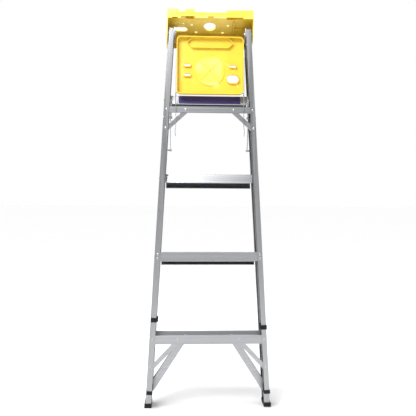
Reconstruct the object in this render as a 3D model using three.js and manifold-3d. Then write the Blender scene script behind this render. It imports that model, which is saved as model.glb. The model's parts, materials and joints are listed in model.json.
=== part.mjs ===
// Folding step ladder with four treads, a moulded top cap and a fold-out work tray.
// Millimetres, +Z up, folded and standing on the front feet; the rear section is on the -Y side.
import * as THREE from 'three';
import { mergeVertices } from 'three/addons/utils/BufferGeometryUtils.js';
import Module from 'manifold-3d';

const wasm = await Module();
wasm.setup();

// ---- Driving dimensions: in pairs of numbers, y or x comes first and then z ----
const LEAN = THREE.MathUtils.degToRad(18);      // lean of the front section in use; treads keep it
const SPLAY = 0.0563;                           // inward run of each rail per mm of height
const CENTRE_SHIFT = -10.15;                    // puts the middle of the depth on y = 0
const GAP = 0.3;                                // gap between touching pieces

const FRONT = { halfWidth: 254.6, width: 24, wall: 1.6, back: 4, depth: 64, bottom: 12, top: 1530 };
const REAR = { halfWidth: 250.5, width: 20, wall: 1.6, back: -34, depth: 28, bottom: 72, top: 1535 };

const TREAD_TOPS = [311, 630, 949, 1268];
const TREAD = { depth: 76, skirt: 36, nose: 36, wall: 2, lip: 6, edgeY: 8 };

const BAR_FACE = -32.1;                         // near face of the cross bars, behind the rail flange
const BAR_WALL = 1.5;
const BAR_FLANGE = 12;
const BARS = {
  top: { height: 27, centre: 1206.5 },
  middle: { height: 35, centre: 617.5 },
  bottom: { height: 35, centre: 283.5 },
};
const BRACE = { width: 18, leg: 10.5, wall: 1.5, face: -30.3 };
const REAR_BRACES = {
  top: { bar: [92, 1204], rail: [174, 1129] },
  bottom: { bar: [120.6, 282], rail: [229, 169] },
};
const TREAD_BRACE = { width: 28, depth: 30, wall: 1.6, back: 10, upper: [96.8, 284], lower: [233, 74] };

const FOOT = { height: 16, overhang: 4, pocket: 6.2, groove: 2.4, grooveDepth: 1.4, grooves: 6 };
const BOOT = { wall: 2.2, bottom: 66, top: 81, tabTop: 106, tabDepth: 9 };
const KEEPER = { wall: 2.4, height: 18, bump: 6, left: 365, right: 334 };

const PIVOT = { y: -20, z: 1515, bolt: 4, head: 7 };
const BRACKET = { outer: 143.4, wall: 2.4, y: [-32, 60], z: [1490, 1536] };
const SPREADER = { front: [34, 1048], rear: [-14, 1176], middle: [-15, 1246] };
const LINK = { width: 10.4, wall: 2.6, frontPlane: 157, rearPlane: 153.6, bolt: 3 };

const CAP = { edge: [-50, 1604], depth: 145.7, halfWidth: 172.4, farHalfWidth: 178, wall: 2.8 };
const CAP_LOW = 15;                             // the work surface lies this far below the raised blocks
const CAP_PLATE = 4;
const CAP_BLOCK = 40;
const CAP_APRON = 42;
const CAP_FRONT = { y: 80, wall: 4, bottom: 1479 };

const TRAY = { halfWidth: 134, bottom: 1269, height: 230, near: -40, depth: 25, wall: 3, corner: 17 };
const TRAY_HINGE = { y: -27, z: 1275, wire: 2 };
const STAY = { x: 136.3, y: -36.5, top: 1417, bottom: 1099, wire: 1.3 };
const LABEL = { halfWidth: 125, height: 33, thickness: 0.5 };

// ---- Materials ----
const finish = (color, roughness, metalness) => new THREE.MeshStandardMaterial({ color, roughness, metalness });
const aluminium = finish(0xc4c7cc, 0.38, 0.95);
const steel = finish(0x8d9095, 0.4, 0.9);
const yellow = finish(0xf2d22a, 0.45, 0);
const black = finish(0x17171a, 0.7, 0);
const blue = finish(0x261f5c, 0.5, 0);

// ---- Solids ----
function solid(geometry) {
  let bare = geometry.clone();
  bare.deleteAttribute('normal');
  bare.deleteAttribute('uv');
  bare = mergeVertices(bare, 1e-4);
  const vertProperties = new Float32Array(bare.attributes.position.array);
  const triVerts = new Uint32Array(bare.index.array);
  return new wasm.Manifold(new wasm.Mesh({ numProp: 3, vertProperties, triVerts }));
}

function geometryOf(body) {
  const mesh = body.getMesh();
  const geometry = new THREE.BufferGeometry();
  geometry.setAttribute('position', new THREE.BufferAttribute(new Float32Array(mesh.vertProperties), 3));
  geometry.setIndex(new THREE.BufferAttribute(new Uint32Array(mesh.triVerts), 1));
  geometry.computeVertexNormals();
  return geometry;
}

const union = (list) => list.reduce((whole, next) => whole.add(next));
const cut = (whole, list) => list.reduce((rest, next) => rest.subtract(next), whole);

// A box between two corners.
function block(x0, x1, y0, y1, z0, z1) {
  const geometry = new THREE.BoxGeometry(x1 - x0, y1 - y0, z1 - z0);
  return geometry.translate((x0 + x1) / 2, (y0 + y1) / 2, (z0 + z1) / 2);
}

function outline(points) {
  return new THREE.Shape(points.map(([u, v]) => new THREE.Vector2(u, v)));
}

// A shape drawn in (y, z), extruded along X between two planes.
function alongX(shape, x0, x1, curveSegments = 8) {
  const geometry = new THREE.ExtrudeGeometry(shape, { depth: x1 - x0, bevelEnabled: false, curveSegments });
  const axes = new THREE.Matrix4().makeBasis(
    new THREE.Vector3(0, 1, 0), new THREE.Vector3(0, 0, 1), new THREE.Vector3(1, 0, 0));
  return geometry.applyMatrix4(axes).translate(x0, 0, 0);
}

// A shape drawn in (x, z), extruded along Y between two planes.
function alongY(shape, y0, y1, curveSegments = 8) {
  const geometry = new THREE.ExtrudeGeometry(shape, { depth: y1 - y0, bevelEnabled: false, curveSegments });
  return geometry.rotateX(Math.PI / 2).translate(0, y1, 0);
}

function rodX(x0, x1, y, z, radius, sides = 12) {
  const geometry = new THREE.CylinderGeometry(radius, radius, Math.abs(x1 - x0), sides);
  return geometry.rotateZ(Math.PI / 2).translate((x0 + x1) / 2, y, z);
}

// A stadium or rounded rectangle in (x, z) about a centre.
function rounded(cx, cz, width, height, radius) {
  const shape = new THREE.Shape();
  const x = width / 2;
  const z = height / 2;
  shape.moveTo(cx - x + radius, cz - z);
  shape.lineTo(cx + x - radius, cz - z);
  shape.absarc(cx + x - radius, cz - z + radius, radius, -Math.PI / 2, 0);
  shape.lineTo(cx + x, cz + z - radius);
  shape.absarc(cx + x - radius, cz + z - radius, radius, 0, Math.PI / 2);
  shape.lineTo(cx - x + radius, cz + z);
  shape.absarc(cx - x + radius, cz + z - radius, radius, Math.PI / 2, Math.PI);
  shape.lineTo(cx - x, cz - z + radius);
  shape.absarc(cx - x + radius, cz - z + radius, radius, Math.PI, Math.PI * 1.5);
  return shape;
}

function wire(points, radius, bend) {
  const path = new THREE.CurvePath();
  let from = points[0];
  for (let i = 1; i < points.length - 1; i += 1) {
    const before = points[i].clone().add(points[i - 1].clone().sub(points[i]).setLength(bend));
    const after = points[i].clone().add(points[i + 1].clone().sub(points[i]).setLength(bend));
    path.add(new THREE.LineCurve3(from, before));
    path.add(new THREE.QuadraticBezierCurve3(before, points[i], after));
    from = after;
  }
  path.add(new THREE.LineCurve3(from, points[points.length - 1]));
  const section = new THREE.Shape().absarc(0, 0, radius, 0, Math.PI * 2);
  const steps = Math.ceil(path.getLength() / 6);
  return new THREE.ExtrudeGeometry(section, { steps, extrudePath: path, bevelEnabled: false, curveSegments: 4 });
}

const group = new THREE.Group();
group.position.y = CENTRE_SHIFT;

function place(name, shape, material, parent = group) {
  const geometry = shape.isBufferGeometry ? shape : geometryOf(shape);
  const mesh = new THREE.Mesh(geometry, material);
  mesh.name = name;
  parent.add(mesh);
  return mesh;
}

const SIDES = [{ name: 'left', sign: -1 }, { name: 'right', sign: 1 }];
const halfWidthAt = (rail, z) => rail.halfWidth - SPLAY * z;

// Frame of one rail: local x = 0 on the outer face, local z along the rail.
function railFrame(rail, sign) {
  const frame = new THREE.Group();
  frame.position.x = sign * rail.halfWidth;
  frame.rotation.y = -sign * Math.atan(SPLAY);
  group.add(frame);
  return frame;
}

const spanX = (sign, x0, x1) => (sign > 0 ? [-x1, -x0] : [x0, x1]);

// A box in a rail's frame, with x measured inward from the outer face.
function railBlock(sign, x0, x1, y0, y1, z0, z1) {
  const [a, b] = spanX(sign, x0, x1);
  return block(a, b, y0, y1, z0, z1);
}

function channelRail(rail, sign, holes) {
  const inner = railBlock(sign, rail.wall, rail.width + 1, rail.back + rail.wall,
    rail.back + rail.depth - rail.wall, rail.bottom - 1, rail.top + 1);
  const outer = railBlock(sign, 0, rail.width, rail.back, rail.back + rail.depth, rail.bottom, rail.top);
  const bores = holes.map(([y, z, radius]) => solid(rodX(-5, 5, y, z * Math.hypot(1, SPLAY), radius)));
  return cut(solid(outer), [solid(inner), ...bores]);
}

// ---- Rails, feet, boots and keepers ----
for (const { name, sign } of SIDES) {
  const front = railFrame(FRONT, sign);
  const [frontY, frontZ] = SPREADER.front;
  place(`front_rail_${name}`, channelRail(FRONT, sign, [[frontY, frontZ, LINK.bolt + 0.5]]), aluminium, front);

  const rear = railFrame(REAR, sign);
  const [rearY, rearZ] = SPREADER.rear;
  const rearHoles = [[PIVOT.y, PIVOT.z, PIVOT.bolt + 0.5], [rearY, rearZ, LINK.bolt + 0.5]];
  place(`rear_rail_${name}`, channelRail(REAR, sign, rearHoles), aluminium, rear);

  const footY = [FRONT.back - FOOT.overhang - 1, FRONT.back + FRONT.depth + FOOT.overhang + 3];
  const footX = spanX(sign, -FOOT.overhang + 0.6, FRONT.width + FOOT.overhang - 2.2);
  const foot = solid(block(...footX, ...footY, 0, FOOT.height).translate(sign * FRONT.halfWidth, 0, 0));
  const pocket = railBlock(sign, -GAP, FRONT.width + GAP + 0.5, FRONT.back - GAP,
    FRONT.back + FRONT.depth + GAP, FOOT.height - FOOT.pocket, FOOT.height + 1);
  const grooves = [];
  for (let i = 1; i <= FOOT.grooves; i += 1) {
    const y = footY[0] + (i * (footY[1] - footY[0])) / (FOOT.grooves + 1);
    const groove = block(-40, 40, y - FOOT.groove / 2, y + FOOT.groove / 2, -1, FOOT.grooveDepth);
    grooves.push(solid(groove.translate(sign * FRONT.halfWidth, 0, 0)));
  }
  const seat = solid(pocket.translate(sign * (FRONT.halfWidth - SPLAY * FOOT.height + 0.3), 0, 0));
  place(`front_foot_${name}`, cut(foot, [seat, ...grooves]), black);

  const around = (wall, z0, z1) => railBlock(sign, -wall, REAR.width + wall,
    REAR.back - wall, REAR.back + REAR.depth + wall, z0, z1);
  const boot = cut(solid(around(BOOT.wall, BOOT.bottom, BOOT.top)), [solid(around(GAP, REAR.bottom - GAP, 200))]);
  const tab = railBlock(sign, REAR.width + GAP, REAR.width + BOOT.wall, REAR.back + 8,
    REAR.back + 8 + BOOT.tabDepth, BOOT.top - 6, BOOT.tabTop);
  place(`rear_foot_${name}`, boot.add(solid(tab)), black, rear);

  const base = KEEPER[name];
  const ring = cut(solid(around(KEEPER.wall, base - KEEPER.height / 2, base + KEEPER.height / 2)),
    [solid(around(GAP, base - 40, base + 40))]);
  const bump = railBlock(sign, REAR.width + GAP, REAR.width + KEEPER.wall + 5, REAR.back - KEEPER.wall,
    REAR.back + REAR.depth / 2, base - KEEPER.height / 2 + 3, base + KEEPER.height / 2 + KEEPER.bump);
  place(`keeper_${name}`, ring.add(solid(bump)), black, rear);
}

// ---- Treads: a ribbed plate with two skirts and a return lip ----
function treadShape() {
  const { depth, skirt, nose, wall, lip } = TREAD;
  const points = [[0, 0], [0, -skirt], [lip, -skirt], [lip, -skirt + wall], [wall, -skirt + wall], [wall, -wall]];
  points.push([depth - wall, -wall], [depth - wall, -nose + wall], [depth - lip, -nose + wall]);
  points.push([depth - lip, -nose], [depth, -nose], [depth, 0]);
  const ribs = 7;
  for (let i = ribs; i >= 1; i -= 1) {
    const u = (i * depth) / (ribs + 1);
    points.push([u + 1.5, 0], [u + 1.5, 1.2], [u - 1.5, 1.2], [u - 1.5, 0]);
  }
  return outline(points);
}

TREAD_TOPS.forEach((top, index) => {
  const half = halfWidthAt(FRONT, top) - FRONT.width - 1;
  const tread = solid(alongX(treadShape(), -half, half));
  const reach = halfWidthAt(FRONT, top) - FRONT.wall - 1.2;
  const tongue = (x0, x1) => solid(block(x0, x1, 14, 50, -TREAD.wall - 1.6, -TREAD.wall + 0.4));
  const whole = union([tread, tongue(half - 30, reach), tongue(-reach, -half + 30)]);
  const mesh = place(`tread_${index + 1}`, whole, aluminium);
  mesh.rotation.x = -LEAN;
  mesh.position.set(0, TREAD.edgeY, top);
});

const label = block(-LABEL.halfWidth, LABEL.halfWidth, -LABEL.thickness - GAP, -GAP, -LABEL.height - 2, -2);
const labelMesh = place('tread_label', label, blue);
labelMesh.rotation.x = -LEAN;
labelMesh.position.set(0, TREAD.edgeY, TREAD_TOPS[3]);

// ---- Braces: extruded along Z, then turned to run between two points ----
function between(shape, from, to) {
  const dx = to[0] - from[0];
  const dz = to[1] - from[1];
  const geometry = new THREE.ExtrudeGeometry(shape, { depth: Math.hypot(dx, dz), bevelEnabled: false });
  return geometry.rotateY(Math.atan2(dx, dz)).translate(from[0], 0, from[1]);
}

function angleShape(sign) {
  const { width, leg, wall, face } = BRACE;
  const low = (-sign * width) / 2;
  const inset = low + sign * wall;
  const points = [[-low, face], [low, face], [low, face + leg], [inset, face + leg], [inset, face + wall]];
  points.push([-low, face + wall]);
  return outline(sign > 0 ? points.reverse() : points);
}

function channelShape() {
  const { width, depth, wall, back } = TREAD_BRACE;
  const half = width / 2;
  const points = [[-half, back], [half, back], [half, back + depth], [half - wall, back + depth]];
  points.push([half - wall, back + wall], [-half + wall, back + wall], [-half + wall, back + depth]);
  points.push([-half, back + depth]);
  return outline(points);
}

for (const { name, sign } of SIDES) {
  for (const [level, { bar, rail }] of Object.entries(REAR_BRACES)) {
    const from = [sign * rail[0], rail[1]];
    const to = [sign * bar[0], bar[1]];
    place(`rear_brace_${level}_${name}`, between(angleShape(sign), from, to), aluminium);
  }
  const { lower, upper } = TREAD_BRACE;
  const brace = between(channelShape(), [sign * lower[0], lower[1]], [sign * upper[0], upper[1]]);
  place(`tread_brace_${name}`, brace, aluminium);
}

// ---- Rear cross bars: an angle whose top flange points inward ----
for (const [level, { height, centre }] of Object.entries(BARS)) {
  const half = halfWidthAt(REAR, centre + height / 2) - REAR.wall - 1;
  const low = centre - height / 2;
  const high = centre + height / 2;
  const profile = [[BAR_FACE, low], [BAR_FACE + BAR_WALL, low], [BAR_FACE + BAR_WALL, high - BAR_WALL]];
  profile.push([BAR_FACE + BAR_FLANGE, high - BAR_WALL], [BAR_FACE + BAR_FLANGE, high], [BAR_FACE, high]);
  let bar = solid(alongX(outline(profile), -half, half));
  if (level === 'top') {
    const hole = (x) => new THREE.CylinderGeometry(3, 3, 10, 12).rotateX(Math.PI / 2)
      .translate(x, TRAY_HINGE.y, high);
    bar = cut(bar, [solid(hole(STAY.x)), solid(hole(-STAY.x))]);
  }
  place(`rear_bar_${level}`, bar, aluminium);
}

// ---- Fold pivots, hinge plates and spreader links ----
function link(from, to, x0, x1) {
  const dy = to[0] - from[0];
  const dz = to[1] - from[1];
  const length = Math.hypot(dy, dz);
  const shape = rounded(length / 2, 0, length + LINK.width, LINK.width, LINK.width / 2 - 0.01);
  shape.holes.push(new THREE.Path().absarc(0, 0, LINK.bolt + 0.5, 0, Math.PI * 2));
  const geometry = alongX(shape, x0, x1, 6);
  return geometry.rotateX(Math.atan2(dz, dy)).translate(0, from[0], from[1]);
}

function bolt(sign, x0, x1, [y, z], radius, head) {
  const shank = solid(rodX(sign * x0, sign * (x1 + 0.5), y, z, radius));
  const cap = solid(rodX(sign * x1, sign * (x1 + 2.2), y, z, head, 16));
  const nut = solid(rodX(sign * (x0 - 3.5), sign * x0 + sign * 0.5, y, z, head - 1.2, 6));
  return union([shank, cap, nut]);
}

for (const { name, sign } of SIDES) {
  const plate = alongX(outline([[BRACKET.y[0], BRACKET.z[0] + 12], [BRACKET.y[0] + 14, BRACKET.z[0]],
    [BRACKET.y[1], BRACKET.z[0]], [BRACKET.y[1], BRACKET.z[1]], [BRACKET.y[0], BRACKET.z[1]]]),
  ...(sign > 0 ? [BRACKET.outer - BRACKET.wall, BRACKET.outer] : [-BRACKET.outer, -BRACKET.outer + BRACKET.wall]));
  const bore = solid(rodX(-200, 200, PIVOT.y, PIVOT.z, PIVOT.bolt + 0.5));
  place(`cap_bracket_${name}`, solid(plate).subtract(bore), steel);

  const pivotOuter = halfWidthAt(REAR, PIVOT.z) + 0.6;
  const pivotInner = BRACKET.outer - BRACKET.wall - 0.8;
  const pivotAxis = [PIVOT.y, PIVOT.z];
  place(`pivot_bolt_${name}`, bolt(sign, pivotInner, pivotOuter, pivotAxis, PIVOT.bolt, PIVOT.head), steel);

  const planes = (near) => (sign > 0 ? [near, near + LINK.wall] : [-near - LINK.wall, -near]);
  place(`spreader_front_${name}`, link(SPREADER.front, SPREADER.middle, ...planes(LINK.frontPlane)), steel);
  place(`spreader_rear_${name}`, link(SPREADER.rear, SPREADER.middle, ...planes(LINK.rearPlane)), steel);

  const inner = LINK.frontPlane - 0.6;
  const frontOuter = halfWidthAt(FRONT, SPREADER.front[1]) + 0.6;
  place(`spreader_bolt_front_${name}`, bolt(sign, inner, frontOuter, SPREADER.front, LINK.bolt, 6), steel);
  const rearOuter = halfWidthAt(REAR, SPREADER.rear[1]) + 0.6;
  const rearInner = LINK.rearPlane - 0.6;
  place(`spreader_bolt_rear_${name}`, bolt(sign, rearInner, rearOuter, SPREADER.rear, LINK.bolt, 6), steel);
}

// ---- Top cap ----
// The work surface is built square in its own frame and tilted once it is whole.
function tilt(geometry) {
  return geometry.rotateX(-LEAN).translate(0, CAP.edge[0], CAP.edge[1]);
}

const surfaceBlock = (...corners) => solid(block(...corners));

function capBlock(x0, x1, drop) {
  const { wall } = CAP;
  const outer = surfaceBlock(x0, x1, 0, CAP_BLOCK, -CAP_LOW - CAP_PLATE, -drop);
  const inner = surfaceBlock(x0 + wall, x1 - wall, wall, CAP_BLOCK - wall, -CAP_APRON, -drop - wall);
  return { outer, inner };
}

function capHoles() {
  const bore = (x, y, radius, stretch = 1) => {
    const hole = new THREE.CylinderGeometry(radius, radius, 24, 16).rotateX(Math.PI / 2).scale(1, stretch, 1);
    return solid(hole.translate(x, y, -CAP_LOW - CAP_PLATE));
  };
  const round = [[-73, 78, 7], [73, 80, 7], [-54, 129, 7], [54, 129, 7]];
  const small = [[-106, 71, 4], [-121, 71, 3], [-136, 71, 3]];
  const holes = [...round, ...small].map(([x, y, radius]) => bore(x, y, radius));
  holes.push(bore(0, 88, 25, 1.16));
  const slot = new THREE.ExtrudeGeometry(rounded(-115, 112, 54, 30, 14.9), { depth: 24, bevelEnabled: false });
  holes.push(solid(slot.translate(0, 0, -CAP_LOW - CAP_PLATE - 12)));
  return holes;
}

// Low and high tabs of the rear apron's lower edge: from x, to x, depth left standing.
const APRON_EDGE = [[-153, -130, 38], [-118, -60, 33], [-60, -12, 40], [-12, 14, 32], [14, 62, 40], [62, 130, 36]];

function workSurface() {
  const half = CAP.halfWidth - 1;
  const under = -CAP_LOW - CAP_PLATE;
  const plate = surfaceBlock(-half, half, 0, CAP.depth, under, -CAP_LOW);
  const panel = surfaceBlock(-92, 92, 6, CAP.depth - 8, under - 2.5, under + 1);
  const ledge = surfaceBlock(96, 100, 50, 138, under - 7, under + 1);
  const shelf = surfaceBlock(98, 150, 98, 102, under - 6, under + 1);
  const apron = surfaceBlock(-half, half, 0, CAP.wall, -CAP_APRON, under + 1);
  const rim = surfaceBlock(-129, -98, 0, CAP_BLOCK - 1, -CAP_LOW - 1, -13);
  const blocks = [capBlock(-half, -127, 0), capBlock(-100, -64, 0), capBlock(64, half, 2)];
  const edges = APRON_EDGE.map(([x0, x1, depth]) => surfaceBlock(x0, x1, -1, CAP.wall + 1, -CAP_APRON - 1, -depth));
  const dip = surfaceBlock(-18, 18, -1, 12, -CAP_LOW - 1.2, 1);
  const whole = union([plate, panel, ledge, shelf, apron, rim, ...blocks.map((pair) => pair.outer)]);
  const clip = solid(alongY(outline([[-117, -34], [-119, -28], [-127, -28], [-122, -41]]), 0.4, CAP.wall - 0.4));
  const body = cut(whole, [...capHoles(), ...blocks.map((pair) => pair.inner), ...edges, dip]).add(clip);
  return solid(tilt(geometryOf(body)));
}

// Side view of a skirt, in (y, z).
function skirtShape() {
  const [edgeY, edgeZ] = CAP.edge;
  const at = (u, v) => [edgeY + u * Math.cos(LEAN) + v * Math.sin(LEAN),
    edgeZ - u * Math.sin(LEAN) + v * Math.cos(LEAN)];
  const back = CAP_FRONT.y + CAP_FRONT.wall;
  return outline([at(-0.6, -CAP_LOW + 0.7), at(-0.6, -CAP_APRON - 0.5), [-38, 1508], [-8, 1482], [16, CAP_FRONT.bottom],
    [back, CAP_FRONT.bottom], [back, at(CAP.depth, -CAP_LOW)[1] + 0.7]]);
}

function topCap() {
  const half = CAP.halfWidth;
  const back = CAP_FRONT.y + CAP_FRONT.wall;
  const front = solid(block(-half + 1, half - 1, CAP_FRONT.y, back - 0.5, CAP_FRONT.bottom + 1, 1546));
  const left = solid(alongX(skirtShape(), -half, -half + CAP.wall));
  const right = solid(alongX(skirtShape(), half - CAP.wall, half));
  const cap = union([workSurface(), front, left, right]);
  const geometry = geometryOf(cap);
  const position = geometry.attributes.position;
  const span = CAP_FRONT.y + CAP_FRONT.wall - CAP.edge[0];
  for (let i = 0; i < position.count; i += 1) {
    const along = (position.getY(i) - CAP.edge[0]) / span;
    position.setX(i, position.getX(i) * (1 + (along * (CAP.farHalfWidth - half)) / half));
  }
  geometry.computeVertexNormals();
  return geometry;
}

place('top_cap', topCap(), yellow);

// ---- Tray: floor on the +Y side, rims and collars on the -Y side ----
const TRAY_SLOTS = [
  { x: -92, z: 1387, width: 27, height: 10 },
  { x: -92, z: 1348, width: 27, height: 10 },
  { x: 91, z: 1384, width: 27, height: 10 },
  { x: 92, z: 1332.5, width: 48, height: 33 },
];
const TRAY_RING = { z: 1364.7, radius: 60 };
const TRAY_GRIP = { halfWidth: 91, z: [1459, 1493] };

function gripShape(grow) {
  const half = TRAY_GRIP.halfWidth + grow;
  const [low, high] = [TRAY_GRIP.z[0] - grow, TRAY_GRIP.z[1] + grow];
  const middle = (low + high) / 2;
  const bevel = (high - low) / 2;
  return outline([[-half, middle], [-half + bevel, low], [half - bevel, low], [half, middle],
    [half - bevel, high], [-half + bevel, high]]);
}

function tray() {
  const { halfWidth, bottom, height, near, depth, wall, corner } = TRAY;
  const far = near + depth;
  const middle = bottom + height / 2;
  const floor = far - wall;
  const pan = (grow, y0, y1) => solid(alongY(
    rounded(0, middle, 2 * (halfWidth - grow), height - 2 * grow, corner - grow), y0, y1, 6));
  const shell = pan(0, near, far).subtract(pan(wall, near - 1, floor));
  const collar = ({ x, z, width, height: tall }, grow, y0, y1) => solid(alongY(
    rounded(x, z, width + 2 * grow, tall + 2 * grow, tall / 2 + grow - 0.01), y0, y1, 5));
  const collars = TRAY_SLOTS.map((slot) => collar(slot, 2.4, floor - 9, floor + 1));
  const ringShape = new THREE.Shape().absarc(0, TRAY_RING.z, TRAY_RING.radius, 0, Math.PI * 2);
  const ring = solid(alongY(ringShape, floor - 2, floor + 1, 20));
  const grip = solid(alongY(gripShape(3), floor - 12, floor + 1));
  const gripHollow = solid(alongY(gripShape(0), floor - 14, floor - 1.2));
  const slots = TRAY_SLOTS.map((slot) => collar(slot, 0, near, far + 1));
  const groove = (x0, z0, x1, z1) => {
    const length = Math.hypot(x1 - x0, z1 - z0);
    const bar = block(-1.3, 1.3, floor - 4, floor - 0.8, 0, length);
    return solid(bar.rotateY(Math.atan2(x1 - x0, z1 - z0)).translate(x0, 0, z0));
  };
  const grooves = [groove(-88, 1277, 55, 1418), groove(86, 1277, -55, 1418)];
  const ticks = [-43, 0, 43].map((x) => solid(block(x - 1, x + 1, floor - 2, floor + 1, 1277, 1287)));
  const hinge = solid(rodX(-200, 200, TRAY_HINGE.y, TRAY_HINGE.z, TRAY_HINGE.wire + 0.7));
  const pins = solid(rodX(-200, 200, STAY.y, STAY.top, STAY.wire + 0.6, 8));
  const whole = union([shell, ring, grip, ...collars, ...ticks]);
  return cut(whole, [gripHollow, ...slots, ...grooves, hinge, pins]);
}

place('tray', tray(), yellow);

for (const { name, sign } of SIDES) {
  const at = (x, y, z) => new THREE.Vector3(sign * x, y, z);
  const hangerX = STAY.x;
  const hanger = [at(hangerX - 9, TRAY_HINGE.y, TRAY_HINGE.z), at(hangerX + 0.4, TRAY_HINGE.y, TRAY_HINGE.z),
    at(hangerX + 0.4, TRAY_HINGE.y, 1200)];
  place(`tray_hanger_${name}`, wire(hanger, TRAY_HINGE.wire, 2), steel);

  const stay = [at(STAY.x - 7, STAY.y, STAY.top), at(STAY.x, STAY.y, STAY.top), at(STAY.x, STAY.y, 1140),
    at(STAY.x + 3, STAY.y, 1118), at(STAY.x + 1, STAY.y, STAY.bottom), at(STAY.x + 1, STAY.y - 8, STAY.bottom + 2),
    at(STAY.x + 1, STAY.y - 8, STAY.bottom + 10)];
  place(`tray_stay_${name}`, wire(stay, STAY.wire, 1.8), steel);
}

export default group;
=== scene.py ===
import json
import math

import bmesh
import bpy
from mathutils import Matrix, Vector


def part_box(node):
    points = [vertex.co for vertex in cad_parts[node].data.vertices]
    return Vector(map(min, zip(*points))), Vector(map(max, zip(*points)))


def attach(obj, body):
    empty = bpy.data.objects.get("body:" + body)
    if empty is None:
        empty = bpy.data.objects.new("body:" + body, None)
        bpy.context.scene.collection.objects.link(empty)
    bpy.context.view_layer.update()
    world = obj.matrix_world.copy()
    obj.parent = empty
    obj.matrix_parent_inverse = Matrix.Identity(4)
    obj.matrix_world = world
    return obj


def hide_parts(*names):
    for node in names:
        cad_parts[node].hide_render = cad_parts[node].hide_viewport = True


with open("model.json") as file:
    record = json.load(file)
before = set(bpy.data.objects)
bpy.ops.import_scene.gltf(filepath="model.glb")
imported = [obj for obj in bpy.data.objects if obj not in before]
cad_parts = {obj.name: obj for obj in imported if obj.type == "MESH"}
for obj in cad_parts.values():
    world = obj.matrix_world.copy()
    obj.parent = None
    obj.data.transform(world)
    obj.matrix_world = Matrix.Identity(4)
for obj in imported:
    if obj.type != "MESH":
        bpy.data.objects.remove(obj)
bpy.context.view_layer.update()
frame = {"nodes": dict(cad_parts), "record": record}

MM = 0.001

# ---- Camera: behind the ladder, a little to its left, between the second and third treads in height ----
EYE_HEIGHT = 0.85
EYE_DISTANCE = 2.366
EYE_YAW = math.radians(2.7)
EYE_ROLL = math.radians(0.3)
AIM_DEPTH = 0.02
LENS = 49.7
SENSOR_WIDTH = 36.0
SHIFT = (-0.0016, -0.0226)


def make_camera():
    data = bpy.data.cameras.new("camera")
    data.lens = LENS
    data.sensor_width = SENSOR_WIDTH
    data.shift_x, data.shift_y = SHIFT
    camera = bpy.data.objects.new("camera", data)
    bpy.context.scene.collection.objects.link(camera)
    place = Vector((-math.sin(EYE_YAW), -math.cos(EYE_YAW), 0.0)) * EYE_DISTANCE
    camera.location = place + Vector((0.0, AIM_DEPTH, EYE_HEIGHT))
    look = Matrix.Rotation(-EYE_YAW, 4, "Z") @ Matrix.Rotation(math.pi / 2, 4, "X")
    camera.rotation_euler = (look @ Matrix.Rotation(EYE_ROLL, 4, "Z")).to_euler()
    bpy.context.scene.camera = camera


# ---- Materials: colours are linear red, green and blue ----
ALUMINIUM_ACROSS = (0.235, 0.238, 0.254)
# The uprights use a darker copy of the same aluminium base colour as the parts across: painted shade for
# the darker look of the rails.
ALUMINIUM_UPRIGHT_SHADED = (0.17, 0.171, 0.178)
ALUMINIUM_HANDLED = (0.34, 0.34, 0.355)
ALUMINIUM_EDGE = (0.50, 0.51, 0.52)
YELLOW_DEEP = (0.72, 0.50, 0.028)
YELLOW_PALE = (0.78, 0.56, 0.045)
YELLOW_DIRTY = (0.66, 0.45, 0.05)
YELLOW_EDGE = (0.97, 0.80, 0.20)
BLACK_CLEAN = (0.006, 0.006, 0.007)
BLACK_DUSTY = (0.04, 0.04, 0.04)
BLACK_EDGE = (0.035, 0.035, 0.035)
ZINC_DARK = (0.30, 0.31, 0.33)
ZINC_LIGHT = (0.56, 0.57, 0.59)
ZINC_EDGE = (0.72, 0.71, 0.68)
FILM_DARK = (0.028, 0.018, 0.125)
FILM_LIGHT = (0.045, 0.032, 0.19)
FILM_SCRATCHED = (0.30, 0.30, 0.40)

# Sockets of a Mix node that blends colours.
MIX_FACTOR = 0
MIX_FIRST = 6
MIX_SECOND = 7
MIX_COLOUR = 2


def ramp_stop(ramp, index, place):
    """A stop of a colour ramp, which starts with two stops of its own."""
    stops = ramp.color_ramp.elements
    stop = stops[index] if index < 2 else stops.new(place)
    stop.position = place
    return stop


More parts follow.
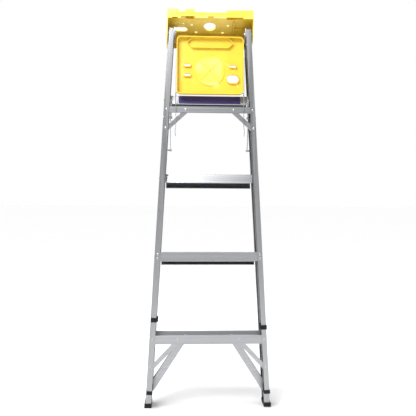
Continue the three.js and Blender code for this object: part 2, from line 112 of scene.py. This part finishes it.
class Nodes:
    """A material's node tree, with short calls for the nodes that the finishes share."""

    def __init__(self, name):
        self.material = bpy.data.materials.new(name)
        self.material.use_nodes = True
        self.tree = self.material.node_tree
        self.shader = self.tree.nodes["Principled BSDF"]
        self.coordinates = self.tree.nodes.new("ShaderNodeTexCoord").outputs["Object"]

    def link(self, source, target):
        self.tree.links.new(source, target)

    def noise(self, scale, stretch=(1, 1, 1), detail=4.0, roughness=0.6):
        mapping = self.tree.nodes.new("ShaderNodeMapping")
        mapping.inputs["Scale"].default_value = stretch
        self.link(self.coordinates, mapping.inputs["Vector"])
        noise = self.tree.nodes.new("ShaderNodeTexNoise")
        noise.inputs["Scale"].default_value = scale
        noise.inputs["Detail"].default_value = detail
        noise.inputs["Roughness"].default_value = roughness
        self.link(mapping.outputs["Vector"], noise.inputs["Vector"])
        return noise.outputs["Fac"]

    def ramp(self, value, stops):
        ramp = self.tree.nodes.new("ShaderNodeValToRGB")
        for index, (place, colour) in enumerate(stops):
            element = ramp_stop(ramp, index, place)
            element.color = (*colour, 1.0)
        self.link(value, ramp.inputs["Fac"])
        return ramp.outputs["Color"]

    def span(self, value, low, high, start=0.35, end=0.65):
        spread = self.tree.nodes.new("ShaderNodeMapRange")
        spread.inputs["From Min"].default_value = start
        spread.inputs["From Max"].default_value = end
        spread.inputs["To Min"].default_value = low
        spread.inputs["To Max"].default_value = high
        self.link(value, spread.inputs["Value"])
        return spread.outputs["Result"]

    def mix(self, first, second, factor):
        mix = self.tree.nodes.new("ShaderNodeMix")
        mix.data_type = "RGBA"
        for value, socket in ((first, mix.inputs[MIX_FIRST]), (second, mix.inputs[MIX_SECOND])):
            if isinstance(value, tuple):
                socket.default_value = (*value, 1.0)
            else:
                self.link(value, socket)
        self.link(factor, mix.inputs[MIX_FACTOR])
        return mix.outputs[MIX_COLOUR]

    def bump(self, heights):
        normal = None
        for height, strength, distance in heights:
            bump = self.tree.nodes.new("ShaderNodeBump")
            bump.inputs["Strength"].default_value = strength
            bump.inputs["Distance"].default_value = distance
            self.link(height, bump.inputs["Height"])
            if normal is not None:
                self.link(normal, bump.inputs["Normal"])
            normal = bump.outputs["Normal"]
        self.link(normal, self.shader.inputs["Normal"])

    def worn_edges(self, low=0.52, high=0.6):
        geometry = self.tree.nodes.new("ShaderNodeNewGeometry")
        return self.span(geometry.outputs["Pointiness"], 0.0, 1.0, low, high)

    def colour(self, source):
        self.link(source, self.shader.inputs["Base Color"])

    def dullness(self, source, low, high):
        """Roughness that follows a pattern between two values."""
        self.link(self.span(source, low, high), self.shader.inputs["Roughness"])

    def set(self, name, value):
        self.shader.inputs[name].default_value = value


def extruded_aluminium(name, along, base):
    """Mill-finish extrusion: die lines along one axis, handling marks and dull oxide patches."""
    nodes = Nodes(name)
    lines = tuple(1.5 if axis == along else 420.0 for axis in "XYZ")
    broad = tuple(0.6 if axis == along else 90.0 for axis in "XYZ")
    fine = nodes.noise(1.0, lines, detail=3.0)
    bands = nodes.noise(1.0, broad, detail=2.0)
    patches = nodes.noise(9.0, detail=6.0, roughness=0.7)
    scuffs = nodes.noise(60.0, detail=8.0, roughness=0.8)
    dark, dull, light = (tuple(channel * level for channel in base) for level in (0.66, 0.86, 1.32))
    streaks = nodes.ramp(bands, [(0.3, dark), (0.7, light)])
    oxide = nodes.mix(streaks, dull, nodes.span(patches, 0.0, 0.55))
    worn = nodes.mix(oxide, ALUMINIUM_HANDLED, nodes.span(scuffs, 0.0, 0.4, 0.58, 0.72))
    nodes.colour(nodes.mix(worn, ALUMINIUM_EDGE, nodes.worn_edges()))
    nodes.dullness(fine, 0.26, 0.46)
    nodes.set("Metallic", 0.92)
    nodes.set("Anisotropic", 0.35)
    nodes.bump([(fine, 0.4, 0.0003), (bands, 0.35, 0.0006), (scuffs, 0.08, 0.0002)])
    return nodes.material


def moulded_yellow():
    """Glossy yellow polypropylene with flow marks, a fine spark-eroded grain and rubbed edges."""
    nodes = Nodes("moulded_yellow")
    flow = nodes.noise(7.0, detail=3.0)
    grain = nodes.noise(900.0, detail=3.0)
    dirt = nodes.noise(24.0, detail=8.0, roughness=0.75)
    body = nodes.ramp(flow, [(0.3, YELLOW_DEEP), (0.7, YELLOW_PALE)])
    dusty = nodes.mix(body, YELLOW_DIRTY, nodes.span(dirt, 0.0, 0.3, 0.56, 0.75))
    nodes.colour(nodes.mix(dusty, YELLOW_EDGE, nodes.worn_edges(0.53, 0.66)))
    nodes.dullness(dirt, 0.33, 0.5)
    nodes.set("Subsurface Weight", 0.06)
    nodes.set("Subsurface Radius", (0.004, 0.002, 0.0005))
    nodes.bump([(grain, 0.12, 0.0002), (flow, 0.1, 0.001)])
    return nodes.material


def moulded_black():
    """Matt black rubber-like plastic with a grain and grey floor dust."""
    nodes = Nodes("moulded_black")
    grain = nodes.noise(1400.0, detail=3.0)
    dust = nodes.noise(70.0, detail=7.0, roughness=0.75)
    dusty = nodes.mix(BLACK_CLEAN, BLACK_DUSTY, nodes.span(dust, 0.0, 0.5, 0.52, 0.75))
    nodes.colour(nodes.mix(dusty, BLACK_EDGE, nodes.worn_edges(0.54, 0.66)))
    nodes.dullness(dust, 0.55, 0.8)
    nodes.set("Specular IOR Level", 0.25)
    nodes.bump([(grain, 0.3, 0.0003), (dust, 0.1, 0.0005)])
    return nodes.material


def zinc_steel():
    """Bright zinc plating with its crystalline mottle and a few dull rubs."""
    nodes = Nodes("zinc_steel")
    mottle = nodes.noise(160.0, detail=5.0)
    rubs = nodes.noise(40.0, (1, 1, 0.2), detail=6.0)
    plating = nodes.ramp(mottle, [(0.3, ZINC_DARK), (0.7, ZINC_LIGHT)])
    nodes.colour(nodes.mix(plating, ZINC_EDGE, nodes.worn_edges()))
    nodes.dullness(rubs, 0.25, 0.5)
    nodes.set("Metallic", 0.9)
    nodes.bump([(mottle, 0.1, 0.0003), (rubs, 0.08, 0.0003)])
    return nodes.material


def blue_film():
    """Dark blue printed film without lettering: faint cross streaks and small scratches."""
    nodes = Nodes("blue_film")
    streaks = nodes.noise(1.0, (3.0, 260.0, 260.0), detail=3.0)
    scratches = nodes.noise(1.0, (24.0, 900.0, 900.0), detail=6.0, roughness=0.8)
    print_colour = nodes.ramp(streaks, [(0.25, FILM_DARK), (0.75, FILM_LIGHT)])
    marks = nodes.span(scratches, 0.0, 0.25, 0.62, 0.75)
    nodes.colour(nodes.mix(print_colour, FILM_SCRATCHED, marks))
    nodes.dullness(streaks, 0.3, 0.42)
    nodes.bump([(scratches, 0.08, 0.0001), (streaks, 0.1, 0.0002)])
    return nodes.material


def finishes():
    return {
        # The uprights' darker base colour is painted shade, not a different metal.
        "rail_aluminium": extruded_aluminium("aluminium_upright_painted_shade", "Z", ALUMINIUM_UPRIGHT_SHADED),
        "aluminium": extruded_aluminium("aluminium_across", "X", ALUMINIUM_ACROSS),
        "steel": zinc_steel(),
        "yellow_plastic": moulded_yellow(),
        "black_plastic": moulded_black(),
        "blue_panel": blue_film(),
    }


# ---- CAD nodes with eased edges ----
EASED = {
    "rail_aluminium": 0.5 * MM,
    "aluminium": 0.35 * MM,
    "yellow_plastic": 0.9 * MM,
    "black_plastic": 1.2 * MM,
    "steel": 0.4 * MM,
    "blue_panel": 0.1 * MM,
}
SHARP = math.radians(32)
FLAT = math.radians(0.6)
WELD = 0.002 * MM
# The cap's flats hold holes and ribs that don't merge cleanly, so it keeps its own faces.
KEEP_FACETS = {"top_cap"}


def body_names(record):
    return {node: body for body, nodes in record["behaviour"]["bodies"].items() for node in nodes}


def eased(node, slot, body, material):
    """The node's own faces, merged into flats and given rounded edges."""
    mesh = frame["nodes"][node].data.copy()
    shape = bmesh.new()
    shape.from_mesh(mesh)
    bmesh.ops.remove_doubles(shape, verts=shape.verts, dist=WELD)
    if node not in KEEP_FACETS:
        bmesh.ops.dissolve_limit(shape, angle_limit=FLAT, verts=shape.verts, edges=shape.edges)
    shape.to_mesh(mesh)
    shape.free()
    mesh.materials.clear()
    mesh.materials.append(material)
    for face in mesh.polygons:
        face.use_smooth = slot == "steel"
    piece = bpy.data.objects.new(node + "_skin", mesh)
    bpy.context.scene.collection.objects.link(piece)
    if node not in KEEP_FACETS:
        bevel = piece.modifiers.new("edges", "BEVEL")
        bevel.width = EASED[slot]
        bevel.segments = 2
        bevel.limit_method = "ANGLE"
        bevel.angle_limit = SHARP
        bevel.harden_normals = slot == "steel"
        bevel.miter_outer = "MITER_ARC"
    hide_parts(node)
    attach(piece, body)
    return piece


def dress(materials):
    record = frame["record"]
    bodies = body_names(record)
    for part in record["subparts"]:
        node = part["node"]
        slot = part["material_slot"]
        eased(node, slot, bodies[node], materials[slot])


# ---- Rivets: their places come from the boxes of the rails, bars, braces and treads ----
RIVET = {"radius": 5.0 * MM, "height": 2.2 * MM, "segments": 20, "rings": 5}
REAR_RAIL_WIDTH = 20 * MM
FRONT_RAIL_WIDTH = 24 * MM
RAIL_SPLAY = 0.056
TREAD_LEAN = math.radians(18)
BAR_PAIR = 8 * MM                   # rivets of a pair lie this far above and below the bar's middle
BRACE_INSET = 10 * MM
TREAD_PAIR = 15 * MM                # rivets of a pair lie this far before and behind the rail's middle
TREAD_DROP = 17 * MM
SKIRT_RIVET = {"side": 94 * MM, "forward": 5.6 * MM, "drop": 18 * MM}


def add_dome(shape, centre, direction):
    """A closed domed head with a flat underside, standing on a surface."""
    turn = Vector(direction).normalized().to_track_quat("Z", "Y").to_matrix().to_4x4()
    place = Matrix.Translation(centre) @ turn
    rings = []
    for ring in range(RIVET["rings"]):
        rise = math.pi / 2 * ring / RIVET["rings"]
        loop = []
        for step in range(RIVET["segments"]):
            around = 2 * math.pi * step / RIVET["segments"]
            local = Vector((math.cos(around), math.sin(around), 0)) * RIVET["radius"] * math.cos(rise)
            local.z = RIVET["height"] * math.sin(rise)
            loop.append(shape.verts.new(place @ local))
        rings.append(loop)
    top = shape.verts.new(place @ Vector((0, 0, RIVET["height"])))
    for lower, upper in zip(rings, rings[1:]):
        for step in range(RIVET["segments"]):
            after = (step + 1) % RIVET["segments"]
            shape.faces.new((lower[step], lower[after], upper[after], upper[step]))
    for step in range(RIVET["segments"]):
        shape.faces.new((rings[-1][step], rings[-1][(step + 1) % RIVET["segments"]], top))
    shape.faces.new(list(reversed(rings[0])))


def rivet_piece(name, heads, body, material):
    """All the heads on one body, as one piece."""
    shape = bmesh.new()
    for centre, direction in heads:
        add_dome(shape, centre, direction)
    mesh = bpy.data.meshes.new(name)
    shape.to_mesh(mesh)
    shape.free()
    mesh.materials.append(material)
    for face in mesh.polygons:
        face.use_smooth = len(face.vertices) <= 4
    piece = bpy.data.objects.new(name, mesh)
    bpy.context.scene.collection.objects.link(piece)
    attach(piece, body)


def rail_edge(node, width, z):
    """The distance of a splayed rail's outer face from the middle, at a height."""
    low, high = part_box(node)
    reach = max(abs(low[0]), abs(high[0]))
    inner = min(abs(low[0]), abs(high[0]))
    run = reach - inner - width
    return reach - run * (z - low[2]) / (high[2] - low[2])


def mirrored(x, y, z, direction):
    """A head on each side: its place and the way that it points."""
    return [(Vector((side * x, y, z)), (side * direction[0], *direction[1:])) for side in (-1, 1)]


def on_rear_rails(z):
    """A pair of heads on the near flanges of the rear rails."""
    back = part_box("rear_rail_left")[0][1]
    x = rail_edge("rear_rail_left", REAR_RAIL_WIDTH, z) - REAR_RAIL_WIDTH / 2
    return mirrored(x, back, z, (0, -1, 0))


def rear_rivets():
    heads = []
    for level, offsets in (("top", (0,)), ("middle", (-BAR_PAIR, BAR_PAIR)), ("bottom", (0,))):
        low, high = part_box("rear_bar_" + level)
        for offset in offsets:
            heads += on_rear_rails((low[2] + high[2]) / 2 + offset)
    for level in ("top", "bottom"):
        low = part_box(f"rear_brace_{level}_right")[0]
        bar_low, bar_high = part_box("rear_bar_" + level)
        heads += mirrored(low[0] + BRACE_INSET, bar_low[1], (bar_low[2] + bar_high[2]) / 2, (0, -1, 0))
        heads += on_rear_rails(low[2] + BRACE_INSET)
    return heads


def front_rivets():
    rail_low, rail_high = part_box("front_rail_left")
    middle = (rail_low[1] + rail_high[1]) / 2
    heads = []
    for number in (1, 2, 3, 4):
        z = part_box(f"tread_{number}")[1][2] - TREAD_DROP
        x = rail_edge("front_rail_left", FRONT_RAIL_WIDTH, z)
        for offset in (-TREAD_PAIR, TREAD_PAIR):
            heads += mirrored(x, middle + offset, z, (1, 0, RAIL_SPLAY))
    low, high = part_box("tread_1")
    outward = (0, -math.cos(TREAD_LEAN), math.sin(TREAD_LEAN))
    y = low[1] + SKIRT_RIVET["forward"]
    heads += mirrored(SKIRT_RIVET["side"], y, high[2] - SKIRT_RIVET["drop"], outward)
    return heads


# ---- Studio ----
FLOOR_HALF = 60.0
FLOOR_DARK = (0.86, 0.86, 0.86)
FLOOR_LIGHT = (0.88, 0.88, 0.88)
# Brightness of the studio round the object by height, from straight down (0) to straight up (1).
SKY = ((0.0, 0.08), (0.46, 0.12), (0.55, 0.7), (1.0, 1.0))
SKY_BLUE = 1.02
SKY_STRENGTH = 0.55
# The sun's direction, strength and softness in degrees.
OVERHEAD = ((0.2, 0.12, -1.0), 2.2, 30)
# Each area light's place, aim, size and power in watts.
AREA_LIGHTS = {
    "key": ((-0.9, -1.5, 2.5), (0, 0, 1.45), (1.2, 0.8), 62),
    "far_side": ((0.8, 2.4, 2.6), (0, 0, 1.2), (1.6, 1.6), 30),
}


def area_light(name, place, aim, size, power):
    data = bpy.data.lights.new(name, "AREA")
    data.shape = "RECTANGLE"
    data.size, data.size_y = size
    data.energy = power
    light = bpy.data.objects.new(name, data)
    light.location = place
    light.rotation_euler = (Vector(aim) - Vector(place)).to_track_quat("-Z", "Y").to_euler()
    bpy.context.scene.collection.objects.link(light)


def sun(name, toward, strength, softness):
    data = bpy.data.lights.new(name, "SUN")
    data.energy = strength
    data.angle = math.radians(softness)
    light = bpy.data.objects.new(name, data)
    light.rotation_euler = Vector(toward).to_track_quat("-Z", "Y").to_euler()
    bpy.context.scene.collection.objects.link(light)


def make_floor():
    mesh = bpy.data.meshes.new("floor")
    corners = [(x * FLOOR_HALF, y * FLOOR_HALF, 0) for x, y in ((-1, -1), (1, -1), (1, 1), (-1, 1))]
    mesh.from_pydata(corners, [], [(0, 1, 2, 3)])
    floor = bpy.data.objects.new("floor", mesh)
    bpy.context.scene.collection.objects.link(floor)
    nodes = Nodes("pale_floor")
    nodes.colour(nodes.ramp(nodes.noise(3.0), [(0.3, FLOOR_DARK), (0.7, FLOOR_LIGHT)]))
    nodes.set("Roughness", 0.9)
    mesh.materials.append(nodes.material)


def graded_sky(tree):
    """A background that is brighter overhead, for the rays that light and reflect in the object."""
    around = tree.nodes.new("ShaderNodeBackground")
    direction = tree.nodes.new("ShaderNodeTexCoord")
    split = tree.nodes.new("ShaderNodeSeparateXYZ")
    grade = tree.nodes.new("ShaderNodeValToRGB")
    for index, (place, level) in enumerate(SKY):
        ramp_stop(grade, index, place).color = (level, level, level * SKY_BLUE, 1.0)
    height = tree.nodes.new("ShaderNodeMapRange")
    height.inputs["From Min"].default_value = -1.0
    tree.links.new(direction.outputs["Generated"], split.inputs["Vector"])
    tree.links.new(split.outputs["Z"], height.inputs["Value"])
    tree.links.new(height.outputs["Result"], grade.inputs["Fac"])
    tree.links.new(grade.outputs["Color"], around.inputs["Color"])
    around.inputs["Strength"].default_value = SKY_STRENGTH
    return around


def make_world():
    """Plain white to the camera and a graded sky to every other ray."""
    world = bpy.data.worlds.new("studio")
    world.use_nodes = True
    tree = world.node_tree
    seen = tree.nodes["Background"]
    seen.inputs["Color"].default_value = (1.0, 1.0, 1.0, 1.0)
    seen.inputs["Strength"].default_value = 1.0
    around = graded_sky(tree)
    rays = tree.nodes.new("ShaderNodeLightPath")
    mix = tree.nodes.new("ShaderNodeMixShader")
    tree.links.new(rays.outputs["Is Camera Ray"], mix.inputs["Fac"])
    tree.links.new(around.outputs["Background"], mix.inputs[1])
    tree.links.new(seen.outputs["Background"], mix.inputs[2])
    tree.links.new(mix.outputs["Shader"], tree.nodes["World Output"].inputs["Surface"])
    bpy.context.scene.world = world


def make_studio():
    make_floor()
    make_world()
    bpy.context.scene.view_settings.view_transform = "Standard"
    sun("overhead", *OVERHEAD)
    for name, settings in AREA_LIGHTS.items():
        area_light(name, *settings)


make_camera()
materials = finishes()
dress(materials)
rivet_piece("rivets_rear", rear_rivets(), "rear_frame", materials["steel"])
rivet_piece("rivets_front", front_rivets(), "front_frame", materials["steel"])
make_studio()
